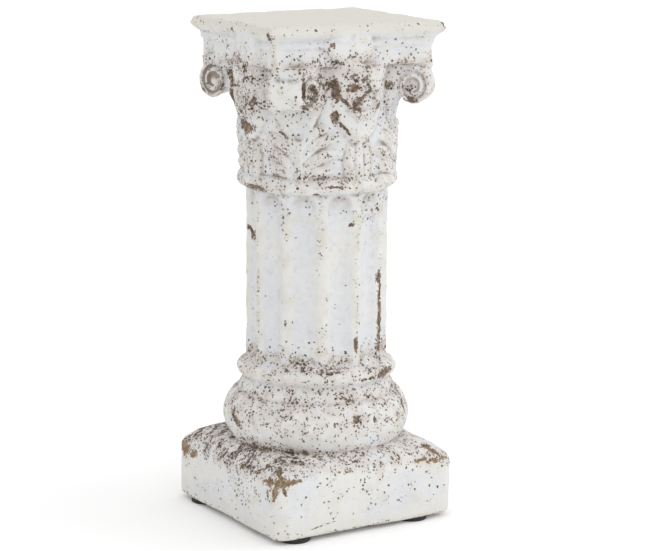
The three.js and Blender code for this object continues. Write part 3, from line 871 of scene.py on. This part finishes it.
def paintedStone():
    material, tree = newMaterial("paintedCastStone")
    place = node(tree, "ShaderNodeTexCoord").outputs["Object"]
    flaked = node(tree, "ShaderNodeAttribute", attribute_name="flaked").outputs["Fac"]
    hollow = node(tree, "ShaderNodeAttribute", attribute_name="hollow").outputs["Fac"]
    pits = node(tree, "ShaderNodeAttribute", attribute_name="pits").outputs["Fac"]

    patch = noise(tree, place, stone["patch"], 3)
    cloud = noise(tree, place, stone["cloud"], 4)
    brush = noise(tree, place, stone["brush"], 3)
    grain = noise(tree, place, stone["grain"], 2)

    # pits: irregular dots, thicker where the pits field is high
    jitter = noise(tree, place, stone["warpSize"], 1, output="Color")
    centred = node(tree, "ShaderNodeVectorMath", {0: jitter, 1: (0.5, 0.5, 0.5)}, operation="SUBTRACT").outputs[0]
    warp = [stone["warp"] * 2 * mm] * 3
    inputs = {0: centred, 1: warp, 2: place}
    moved = node(tree, "ShaderNodeVectorMath", inputs, operation="MULTIPLY_ADD").outputs[0]
    thick = reckon(tree, "MULTIPLY", pits, spread(tree, cloud, 0.34, 0.66, 0.4, 1.6))

    def pitDots(kind):                              # a mask of the dots of one size, and a shade for each
        cells = node(tree, "ShaderNodeTexVoronoi", {"Vector": moved, "Scale": 1 / (kind["size"] * mm)})
        draw = node(tree, "ShaderNodeSeparateColor", {"Color": cells.outputs["Color"]})
        over = reckon(tree, "SUBTRACT", reckon(tree, "MULTIPLY", thick, kind["share"]), draw.outputs["Red"])
        there = spread(tree, over, 0, 0.05)
        span = spread(tree, draw.outputs["Green"], 0, 1, kind["smallest"], kind["largest"])
        swollen = spread(tree, over, 0.7, 1.6, 0, 0.24)            # crowded dots grow
        radius = reckon(tree, "MULTIPLY_ADD", span, there, swollen)
        depth = reckon(tree, "SUBTRACT", radius, cells.outputs["Distance"])
        return spread(tree, depth, 0, 0.1), draw.outputs["Blue"]

    smallDots, pitShade = pitDots(stone["smallPits"])
    largeDots = pitDots(stone["largePits"])[0]

    # where they crowd they run together into blotches
    blotch = noise(tree, moved, stone["blotch"], 2)
    crowded = spread(tree, thick, 0.8, 1.4, -0.1, 0.15)
    blotches = spread(tree, reckon(tree, "ADD", blotch, crowded), 0.64, 0.68)
    pitMask = reckon(tree, "MAXIMUM", reckon(tree, "MAXIMUM", smallDots, largeDots), blotches)

    # flakes with ragged edges; a few marks among them are painted shade in the same brown
    ragged = noise(tree, place, stone["ragged"], 5, 0.62)
    crumbs = noise(tree, place, stone["crumb"], 3)
    crumbsOut = spread(tree, crumbs, 0.3, 0.7, -0.35, 0.35)
    roughEdge = reckon(tree, "ADD", spread(tree, ragged, 0.3, 0.7, -0.5, 0.4), crumbsOut)
    flakeEdge = reckon(tree, "ADD", flaked, roughEdge)
    flakeMask = spread(tree, flakeEdge, -0.04, 0.1)

    # paint: white, cooler in random patches and cooler and darker in hollows as painted shade, cream on ridges, rosy
    # where it is pitted
    coolAndShadeShare = spread(tree, reckon(tree, "MULTIPLY_ADD", hollow, 0.28, patch), 0.42, 0.6)
    paint = blend(tree, coolAndShadeShare, stone["paint"], stone["coolPaintAndShade"])
    creamShare = spread(tree, reckon(tree, "MULTIPLY_ADD", hollow, -0.22, cloud), 0.5, 0.76, 0, 0.8)
    height = node(tree, "ShaderNodeSeparateXYZ", {0: place}).outputs["Z"]
    handled = spread(tree, height, *[z * mm for z in stone["handled"]], 0, 0.75)   # top and foot are yellowed
    foot = spread(tree, height, *[z * mm for z in stone["foot"]], 0, 0.35)
    yellowed = reckon(tree, "MAXIMUM", handled, foot)
    paint = blend(tree, reckon(tree, "MAXIMUM", creamShare, yellowed), paint, stone["creamPaint"])
    paint = blend(tree, spread(tree, thick, 0.25, 1, 0, 0.75), paint, stone["rosyPaint"])

    # painted shade and grime in the deeper hollows: beige, then dark brown in the creases
    hollowHere = reckon(tree, "ADD", hollow, reckon(tree, "MULTIPLY_ADD", brush, 1.4, -0.7))
    paint = blend(tree, spread(tree, hollowHere, 0.2, 1.3, 0, 0.55), paint, stone["grimeAndShade"])
    # painted shade: the deepest hollows and creases turn dark brown
    paint = blend(tree, spread(tree, hollowHere, 1.1, 2, 0, 0.7), paint, stone["creaseShade"])

    # bare stone: brown with dark grains, a thin wash of paint left along the edges, more ochre low down
    bare = blend(tree, spread(tree, crumbs, 0.4, 0.68), stone["stone"], stone["stoneDark"])
    bare = blend(tree, spread(tree, flakeEdge, 0.3, 0, 0, 0.6), bare, stone["washed"])
    lowDown = spread(tree, height, *[z * mm for z in stone["ochreHeights"]], 0, 0.7)
    bare = blend(tree, lowDown, bare, stone["ochre"])
    bare = blend(tree, spread(tree, brush, 0.46, 0.64, 0, 0.75), bare, stone["washed"])
    colour = blend(tree, flakeMask, paint, bare)
    colour = blend(tree, pitMask, colour, blend(tree, pitShade, stone["pit"], stone["pitDark"]))

    # relief: fine grain, brush marks, and the pits sunk in
    grainHeight = reckon(tree, "MULTIPLY_ADD", grain, 0.22, brush)
    sunk = reckon(tree, "MULTIPLY_ADD", pitMask, -0.9, grainHeight)
    relief = reckon(tree, "MULTIPLY_ADD", flakeMask, -0.5, sunk)
    bump = node(tree, "ShaderNodeBump", {"Height": relief, "Strength": 0.55, "Distance": 0.6 * mm}).outputs[0]
    rough = spread(tree, brush, 0.3, 0.7, 0.78, 0.94)
    inputs = {"Base Color": colour, "Roughness": rough, "IOR": 1.5, "Specular IOR Level": 0.25, "Normal": bump}
    shader = node(tree, "ShaderNodeBsdfPrincipled", inputs)
    node(tree, "ShaderNodeOutputMaterial", {"Surface": shader.outputs[0]})
    return material


column = makeColumn()
column.data.materials.clear()
column.data.materials.append(paintedStone())
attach(column, "root")
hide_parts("column")


# round stick-on pads, moulded black rubber: matt, faintly pebbled, dust on the rim
pads = dict(radius=9, thick=2.5, edge=0.5, dish=1.2, dishWall=0.4, dishDepth=0.3, sides=48,
            places=dict(front_left=(-44, -50.5), front_right=(36, -50.5),
                        back_left=(-50.5, 40), back_right=(45, 47)),
            black="#1C1C1E", dusty="#343434", pebble=0.6, dust=3)


def blackRubber():
    material, tree = newMaterial("mouldedBlackRubber")
    place = node(tree, "ShaderNodeTexCoord").outputs["Object"]
    inputs = {"Vector": place, "Scale": 1 / (pads["pebble"] * mm)}
    pebble = node(tree, "ShaderNodeTexVoronoi", inputs).outputs["Distance"]
    dust = noise(tree, place, pads["dust"], 4)
    colour = blend(tree, spread(tree, dust, 0.45, 0.75, 0, 0.6), pads["black"], pads["dusty"])
    bump = node(tree, "ShaderNodeBump", {"Height": pebble, "Strength": 0.3, "Distance": 0.1 * mm}).outputs[0]
    rough = spread(tree, dust, 0, 1, 0.55, 0.8)
    inputs = {"Base Color": colour, "Roughness": rough, "IOR": 1.52, "Normal": bump}
    shader = node(tree, "ShaderNodeBsdfPrincipled", inputs)
    node(tree, "ShaderNodeOutputMaterial", {"Surface": shader.outputs[0]})
    return material


def makePad():
    deselectAll()
    bpy.ops.mesh.primitive_cylinder_add(vertices=pads["sides"], radius=pads["radius"] * mm,
                                        depth=pads["thick"] * mm, location=(0, 0, pads["thick"] / 2 * mm))
    startEditing("pad")
    selectWhere("EDGE", lambda e: abs(e.verts[0].co.z - e.verts[1].co.z) < 0.1 * mm)
    bpy.ops.mesh.bevel(offset=pads["edge"] * mm, segments=4)
    selectWhere("FACE", lambda face: face.normal.z < -0.9 and face.calc_area() > 100 * mm * mm)
    bpy.ops.mesh.inset(thickness=pads["dish"] * mm)
    bpy.ops.mesh.inset(thickness=pads["dishWall"] * mm)
    bpy.ops.transform.translate(value=(0, 0, pads["dishDepth"] * mm))
    cleanSkin()
    pad = doneEditing()
    bpy.ops.object.transform_apply(location=True, rotation=True, scale=True)
    bpy.ops.object.shade_smooth_by_angle(angle=math.radians(40))
    return pad


rubber = blackRubber()
firstPad = makePad()
padObjects = [firstPad]
for number in range(3):
    pick(firstPad)
    bpy.ops.object.duplicate(linked=False)
    padObjects.append(bpy.context.object)
for pad, (name, spot) in zip(padObjects, pads["places"].items()):
    turnAndPlace(pad, 0, spot)
    pad.name = "rubberPad_" + name
    pad.data.materials.clear()
    pad.data.materials.append(rubber)
    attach(pad, "root")
    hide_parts("foot_pad_" + name)
print("pads placed")


# plain pale floor and soft studio light
studio = dict(floorSize=14, floor="#FFFFFF",
              brightSide=(0.42, -0.58, 0.7), dim=0.86, bright=1.24,   # a white tent, brighter from the right
              lamps=[dict(name="keyLight", place=(1.5, -0.9, 1.2), size=0.7, power=2)])


def setStage():
    deselectAll()
    bpy.ops.mesh.primitive_plane_add(size=studio["floorSize"], location=(0, 0, 0))
    floor = bpy.context.object
    floor.name = "floor"
    paper, tree = newMaterial("whitePaper")
    inputs = {"Base Color": hexColour(studio["floor"]), "Roughness": 0.9, "Specular IOR Level": 0.1}
    shader = node(tree, "ShaderNodeBsdfPrincipled", inputs)
    node(tree, "ShaderNodeOutputMaterial", {"Surface": shader.outputs[0]})
    floor.data.materials.append(paper)
    world = bpy.data.worlds.new("softRoom")
    world.use_nodes = True
    tree = world.node_tree
    tree.nodes.clear()
    heading = node(tree, "ShaderNodeTexCoord").outputs["Generated"]
    inputs = {0: heading, 1: studio["brightSide"]}
    facing = node(tree, "ShaderNodeVectorMath", inputs, operation="DOT_PRODUCT").outputs["Value"]
    inputs = {"Value": facing, "To Min": studio["dim"], "To Max": studio["bright"]}
    glow = node(tree, "ShaderNodeMapRange", inputs, interpolation_type="SMOOTHSTEP").outputs[0]
    tent = node(tree, "ShaderNodeBackground", {"Color": (1, 1, 1, 1), "Strength": glow})
    node(tree, "ShaderNodeOutputWorld", {"Surface": tent.outputs[0]})
    bpy.context.scene.world = world
    for lamp in studio["lamps"]:
        bpy.ops.object.light_add(type="AREA", location=lamp["place"])
        light = bpy.context.object
        light.name = lamp["name"]
        light.data.size = lamp["size"]
        light.data.energy = lamp["power"]
        light.rotation_euler = (Vector((0, 0, 0.15)) - Vector(lamp["place"])).to_track_quat("-Z", "Y").to_euler()
    bpy.context.scene.view_settings.view_transform = "Standard"


setStage()
